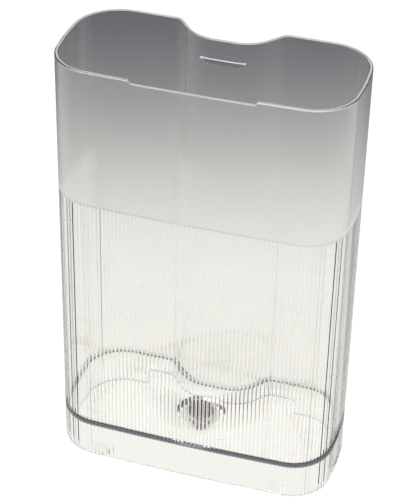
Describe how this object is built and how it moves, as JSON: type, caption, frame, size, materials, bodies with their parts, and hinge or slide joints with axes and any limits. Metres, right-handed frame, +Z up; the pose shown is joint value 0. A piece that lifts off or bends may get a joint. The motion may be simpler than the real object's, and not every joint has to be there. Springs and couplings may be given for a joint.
{
  "type": "appliance water tank",
  "caption": "Clear upright water tank with a recessed back, ribbed lower walls, a raised floor on a skirt, and a spring-loaded outlet valve that a pin lifts.",
  "frame": {"origin": "centre of the tank's footprint, on the surface that the skirt stands on", "axes": "+Z up, +X to the right seen from the front, -Y the front, +Y the recessed back"},
  "size_m": [0.125, 0.0574, 0.1954],
  "materials": {
    "clear_tank": "clear copolyester or SAN, polished below and satin above",
    "clear_valve": "clear, polished",
    "pale_silicone": "satin milky silicone",
    "steel_mesh": "fine woven stainless mesh",
    "black_plastic": "satin acetal",
    "red_rubber": "satin silicone",
    "spring_steel": "bright drawn stainless wire"
  },
  "bodies": {
    "tank": {"tank_shell": "clear_tank", "valve_cartridge": "clear_valve", "cartridge_ring": "pale_silicone", "outlet_strainer": "steel_mesh", "return_spring": "spring_steel"},
    "plunger": {"plunger": "black_plastic", "plunger_seal": "red_rubber", "stem_cap": "black_plastic"}
  },
  "joints": [
    {"name": "plunger_lift", "type": "slide", "parent": "tank", "child": "plunger", "axis": [0, 0, 1], "range_m": [0, 0.0025], "stiffness_N_per_m": 150, "springref_m": -0.004, "deforming": ["return_spring"]}
  ]
}
